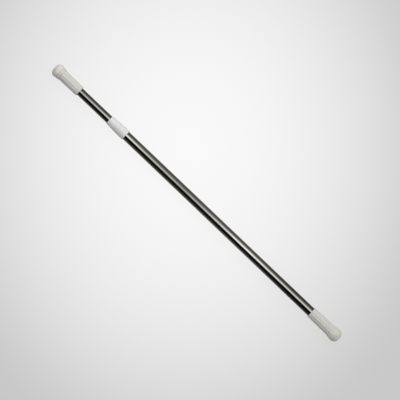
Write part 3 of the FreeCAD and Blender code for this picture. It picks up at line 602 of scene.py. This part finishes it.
def make_flange(material):
    """Flared flange between the grip and the inner pad."""
    low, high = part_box("foot_flange")
    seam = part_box("inner_foot_pad")[0].x
    screw_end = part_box("jack_screw")[1].x
    outline = rounded([
        (low.x, SCREW_RAD, HOLE_EDGE),
        (screw_end, SCREW_RAD, 0),
        (screw_end, 0.0, 0),
        (high.x, 0.0, 0),
        (high.x, FLANGE_SPIGOT_RAD, BORE_EDGE),
        (seam, FLANGE_SPIGOT_RAD, 0),
        (seam, FLANGE_FLARE_END[1], MOUTH_EDGE),
    ])
    flare_start = (low.x, FLANGE_START_RAD)
    outline.append(FLANGE_FLARE_END)
    outline += arc_points(FLANGE_FLARE_END, flare_start, FOOT_FLARE_ARC, bulge=-1, steps=8)
    outline.append(flare_start)
    piece = turned_mesh("foot_flange_flared", outline)
    return finished(piece, "foot_flange", material)


def make_inner_pad(material):
    """Domed rubber disc at the inner end."""
    low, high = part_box("inner_foot_pad")
    spigot_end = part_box("foot_flange")[1].x
    face_edge = [(high.x - depth, DISC_FACE_RAD + past) for depth, past in DISC_EDGE]
    outline = [(spigot_end, 0.0), (spigot_end, FLANGE_SPIGOT_RAD), (low.x, FLANGE_SPIGOT_RAD)]
    outline += [(low.x + depth, DISC_REAR_RAD + past) for depth, past in DISC_REAR_EDGE]
    outline += arc_points(outline[-1], DISC_SHOULDER, DISC_ARC, bulge=1, steps=8)
    outline.append(DISC_SHOULDER)
    outline += arc_points(DISC_SHOULDER, face_edge[0], DISC_ARC, bulge=1, steps=14)
    outline += face_edge
    outline += reversed(face_points(high.x, 1, DISC_FACE_RAD - DISC_LIP))
    piece = turned_mesh("inner_pad_domed", outline)
    return finished(piece, "inner_foot_pad", material)


def make_jack_screw(material):
    """Two-start screw with a flat above and a flat below."""
    low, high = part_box("jack_screw")
    outline = [(low.x, 0.0)]
    steps = math.ceil((high.x - low.x) / SCREW_STEP)
    for step in range(steps + 1):
        outline.append((low.x + (high.x - low.x) * step / steps, SCREW_RAD))
    outline.append((high.x, 0.0))

    def shape(along, radius, angle):
        turn = (SCREW_STARTS * (along / SCREW_LEAD - angle / (2 * math.pi))) % 1.0
        slope = min(1.0, max(0.0, THREAD_SLOPE * abs(turn - 0.5) - THREAD_CREST))
        reach = radius - SCREW_THREAD_DEPTH * slope
        end = min(along - low.x, high.x - along)
        reach = min(reach, radius - SCREW_CHAMFER + end)
        flat = SCREW_FLAT / max(abs(math.sin(angle)), TINY)
        return min(reach, flat)

    piece = turned_mesh("jack_screw_threaded", outline, SCREW_AROUND, shape)
    return finished(piece, "jack_screw", material)


def dress_cad_nodes(materials):
    """Gives every CAD node that is still shown the material of its own slot."""
    slots = {row["node"]: row["material_slot"] for row in frame["record"]["subparts"]}
    for node, piece in frame["nodes"].items():
        piece.data.materials.clear()
        piece.data.materials.append(materials[slots[node]])


# Stage ----------------------------------------------------------------------------------------------

BAR_ANGLE = math.radians(43.64)     # fall of the bar across the picture, upper left to lower right
FRAME_WIDTH = 1.0417                # metres across the picture, at the bar
CAMERA_HEIGHT = 6.0
CAMERA_RIGHT = 0.0081               # the picture's middle, right of the bar's middle
CAMERA_UP = 0.0082                  # and above it
ACROSS = Vector((-math.cos(BAR_ANGLE), -math.sin(BAR_ANGLE), 0))
UPWARD = Vector((math.sin(BAR_ANGLE), -math.cos(BAR_ANGLE), 0))

FLOOR_HALF = 12.0
PALEST_RIGHT = -0.034               # palest place of the floor's painted pool of light, from the middle of the bar
PALEST_UP = 0.130
FLOOR_REACH = (0.649, 0.794)        # how far the glow takes to fall off, across and up the picture
FLOOR_GLOW = (0.895, 0.541)         # glow at the palest place, and at that distance
FLOOR_BLEND = 0.12                  # softness of the place where the fall-off ends
FLOOR_MATT = 0.06                   # the little that the floor reflects, which keeps a faint shadow

KEY_DISTANCE = 1.3
KEY_LEAN = math.radians(42)         # lean of the key light from the zenith towards -Y
KEY_ALONG = 0.20                    # place of the key light along the bar, from its middle
KEY_SIZE = (2.0, 0.8)               # along the bar and across it
KEY_WATTS = 11.5
FILL = 0.40
BACKDROP = 0.565                    # what is seen past the floor's edge, as pale as the floor there

# Strength of the window and of the rest of the room along the bar, as seen in a polished surface,
# from the X part of the direction. Further out both are 1.
ALONG_REACH = 0.1
WINDOW_ALONG = [
    (-0.1, 1.0), (-0.066, 1.22), (-0.054, 0.72), (-0.041, 1.35), (-0.031, 2.35), (-0.016, 1.25),
    (-0.003, 0.70), (0.011, 0.40), (0.024, 0.68), (0.034, 1.2), (0.043, 1.7), (0.060, 1.0), (0.1, 1.0),
]
ROOM_ALONG = [
    (-0.1, 1.0), (-0.070, 0.35), (-0.054, 0.42), (-0.041, 0.95), (-0.015, 1.12), (0.010, 1.12),
    (0.036, 1.0), (0.052, 0.80), (0.070, 0.80), (0.1, 1.0),
]

# Light that a polished surface sees at an angle round the bar: 0 is straight up, positive angles
# lean to the -Y side, 180 is straight down.
STUDIO = [
    (-180, 0.22), (-150, 0.20), (-130, 0.18), (-112, 0.14), (-94, 0.085), (-78, 0.032), (-62, 0.009),
    (-47, 0.003), (-23, 0.003), (-11, 0.05), (-2, 0.50), (4, 0.92), (16, 0.98), (25, 0.72), (38, 0.40),
    (51, 0.24), (64, 0.145), (79, 0.11), (97, 0.105), (118, 0.135), (145, 0.19), (180, 0.22),
]
WARMTH = (1, 0.98, 0.93)
WINDOW_BLEND = (0.1, 0.45)          # brightness from which that light counts as the window's


def make_camera(middle):
    """Straight down on the bar from far off, turned so that the bar runs from the upper left."""
    data = bpy.data.cameras.new("view_from_above")
    data.type = "PERSP"
    data.sensor_width = 36.0
    data.lens = data.sensor_width * CAMERA_HEIGHT / FRAME_WIDTH
    data.clip_end = 100.0
    camera = bpy.data.objects.new("view_from_above", data)
    place = middle + ACROSS * CAMERA_RIGHT + UPWARD * CAMERA_UP + Vector((0, 0, CAMERA_HEIGHT))
    turn = Matrix((ACROSS, UPWARD, (0, 0, 1))).transposed()
    camera.matrix_world = Matrix.Translation(place) @ turn.to_4x4()
    bpy.context.scene.collection.objects.link(camera)
    bpy.context.scene.camera = camera


def make_floor(place):
    """Pale floor with a painted pool of light: its own glow leaves the bar almost no shadow. The glow
    is strongest at the place given and falls off around it, and only the eye sees it: it neither
    lights the bar nor shows in it."""
    mesh = bpy.data.meshes.new("floor")
    corners = [(-FLOOR_HALF, -FLOOR_HALF, 0), (FLOOR_HALF, -FLOOR_HALF, 0),
               (FLOOR_HALF, FLOOR_HALF, 0), (-FLOOR_HALF, FLOOR_HALF, 0)]
    mesh.from_pydata(corners, [], [(0, 1, 2, 3)])
    floor = bpy.data.objects.new("floor", mesh)
    turn = Matrix((ACROSS, UPWARD, (0, 0, 1))).transposed()
    floor.matrix_world = Matrix.Translation(place) @ turn.to_4x4()
    floor.visible_glossy = False
    floor.visible_diffuse = False
    floor.visible_shadow = False
    bpy.context.scene.collection.objects.link(floor)
    matt = (FLOOR_MATT, FLOOR_MATT, FLOOR_MATT)
    material, tree, shader, coordinates = new_material("floor_painted_glow", matt, metallic=0.0, roughness=0.9)
    shader.inputs["Specular IOR Level"].default_value = 0.0
    shader.inputs["Emission Color"].default_value = (1, 1, 1, 1)
    # painted pool of light: the glow falls off with distance from the palest place
    shares = tree.nodes.new("ShaderNodeMapping")
    shares.inputs["Scale"].default_value = (1 / FLOOR_REACH[0], 1 / FLOOR_REACH[1], 1)
    tree.links.new(coordinates.outputs["Object"], shares.inputs["Vector"])
    squared = tree.nodes.new("ShaderNodeVectorMath")
    squared.operation = "DOT_PRODUCT"
    tree.links.new(shares.outputs["Vector"], squared.inputs[0])
    tree.links.new(shares.outputs["Vector"], squared.inputs[1])
    falling = tree.nodes.new("ShaderNodeMath")
    falling.operation = "MULTIPLY_ADD"
    falling.inputs[1].default_value = FLOOR_GLOW[1] - FLOOR_GLOW[0]
    falling.inputs[2].default_value = FLOOR_GLOW[0]
    tree.links.new(squared.outputs["Value"], falling.inputs[0])
    glow = tree.nodes.new("ShaderNodeMath")
    glow.operation = "SMOOTH_MAX"
    glow.inputs[1].default_value = FLOOR_GLOW[1]
    glow.inputs[2].default_value = FLOOR_BLEND
    tree.links.new(falling.outputs["Value"], glow.inputs[0])
    tree.links.new(glow.outputs["Value"], shader.inputs["Emission Strength"])
    mesh.materials.append(material)


def add_area_light(name, place, target, size, watts):
    data = bpy.data.lights.new(name, "AREA")
    data.shape = "RECTANGLE"
    data.size, data.size_y = size
    data.energy = watts
    light = bpy.data.objects.new(name, data)
    light.location = place
    light.rotation_euler = (target - place).to_track_quat("-Z", "Y").to_euler()
    light.visible_camera = False
    light.visible_glossy = False
    bpy.context.scene.collection.objects.link(light)


def add_ramp(tree, share, stops, tint=(1, 1, 1)):
    """A ramp over a share from 0 to 1, from (place, brightness) stops."""
    ramp = tree.nodes.new("ShaderNodeValToRGB")
    tree.links.new(share, ramp.inputs["Fac"])
    elements = ramp.color_ramp.elements
    while len(elements) < len(stops):
        elements.new(0.5)
    for element, (place, value) in zip(elements, stops):
        element.position = place
        element.color = (*(value * part for part in tint), 1)
    return ramp.outputs["Color"]


def make_world():
    """Even fill for matt surfaces, and a plain backdrop for the eye. Polished surfaces see a dark
    room with one long window overhead, a little to the -Y side. It fades towards the horizon and is
    brighter in some places along the bar than in others."""
    world = bpy.data.worlds.new("studio")
    world.use_nodes = True
    bpy.context.scene.world = world
    tree = world.node_tree
    tree.nodes.clear()
    coordinates = tree.nodes.new("ShaderNodeTexCoord")
    parts = tree.nodes.new("ShaderNodeSeparateXYZ")
    tree.links.new(coordinates.outputs["Generated"], parts.inputs["Vector"])
    flipped = tree.nodes.new("ShaderNodeMath")
    flipped.operation = "MULTIPLY"
    flipped.inputs[1].default_value = -1.0
    tree.links.new(parts.outputs["Y"], flipped.inputs[0])
    angle = tree.nodes.new("ShaderNodeMath")
    angle.operation = "ARCTAN2"
    tree.links.new(flipped.outputs["Value"], angle.inputs[0])
    tree.links.new(parts.outputs["Z"], angle.inputs[1])
    around = add_range(tree, angle.outputs["Value"], 0.0, 1.0, -math.pi, math.pi)
    studio = add_ramp(tree, around, [((degrees + 180) / 360, value) for degrees, value in STUDIO], WARMTH)
    along = add_range(tree, parts.outputs["X"], 0.0, 1.0, -ALONG_REACH, ALONG_REACH)
    strengths = tree.nodes.new("ShaderNodeMix")
    tree.links.new(add_range(tree, studio, 0.0, 1.0, *WINDOW_BLEND), strengths.inputs["Factor"])
    for socket, stops in (("A", ROOM_ALONG), ("B", WINDOW_ALONG)):
        places = [((place / ALONG_REACH + 1) / 2, value) for place, value in stops]
        tree.links.new(add_ramp(tree, along, places), strengths.inputs[socket])
    window = tree.nodes.new("ShaderNodeBackground")
    tree.links.new(studio, window.inputs["Color"])
    tree.links.new(strengths.outputs["Result"], window.inputs["Strength"])
    paths = tree.nodes.new("ShaderNodeLightPath")
    fill = tree.nodes.new("ShaderNodeBackground")
    fill.inputs["Color"].default_value = (1, 1, 1, 1)
    seen = add_range(tree, paths.outputs["Is Camera Ray"], FILL, BACKDROP, 0.0, 1.0)
    tree.links.new(seen, fill.inputs["Strength"])
    mix = tree.nodes.new("ShaderNodeMixShader")
    tree.links.new(paths.outputs["Is Glossy Ray"], mix.inputs["Fac"])
    tree.links.new(fill.outputs["Background"], mix.inputs[1])
    tree.links.new(window.outputs["Background"], mix.inputs[2])
    output = tree.nodes.new("ShaderNodeOutputWorld")
    tree.links.new(mix.outputs["Shader"], output.inputs["Surface"])


def make_stage():
    low, high = Vector(cad_box[0]), Vector(cad_box[1])
    middle = Vector(((low.x + high.x) / 2, 0, 0))
    make_camera(middle)
    make_floor(middle + ACROSS * PALEST_RIGHT + UPWARD * PALEST_UP + Vector((0, 0, low.z)))
    target = middle + Vector((KEY_ALONG, 0, 0))
    key_way = Vector((0, -math.sin(KEY_LEAN), math.cos(KEY_LEAN)))
    add_area_light("key_softbox", target + key_way * KEY_DISTANCE, target, KEY_SIZE, KEY_WATTS)
    make_world()
    bpy.context.scene.view_settings.view_transform = "Standard"


# Everything -----------------------------------------------------------------------------------------

def make_bar():
    materials = make_materials()
    dress_cad_nodes(materials)
    make_tube("outer_tube", materials["chromed_tube"])
    # The inner tube's chrome is smoother than the outer tube's, and darker: that darker colour is painted
    # shade for the dimmer reflections at this end of the bar.
    make_tube("inner_tube", chrome_material(
        "chrome_plate_sliding_painted_shade", (0.56, 0.555, 0.545), (0.52, 0.515, 0.51), (0.02, 0.05)
    ))
    make_outer_sleeve(materials["cap_plastic"])
    make_outer_pad(materials["foot_rubber"])
    make_collar(materials["collar_plastic"])
    make_grip(materials["cap_plastic"])
    make_flange(materials["cap_plastic"])
    make_inner_pad(materials["foot_rubber"])
    make_jack_screw(materials["plated_steel"])


make_bar()
make_stage()
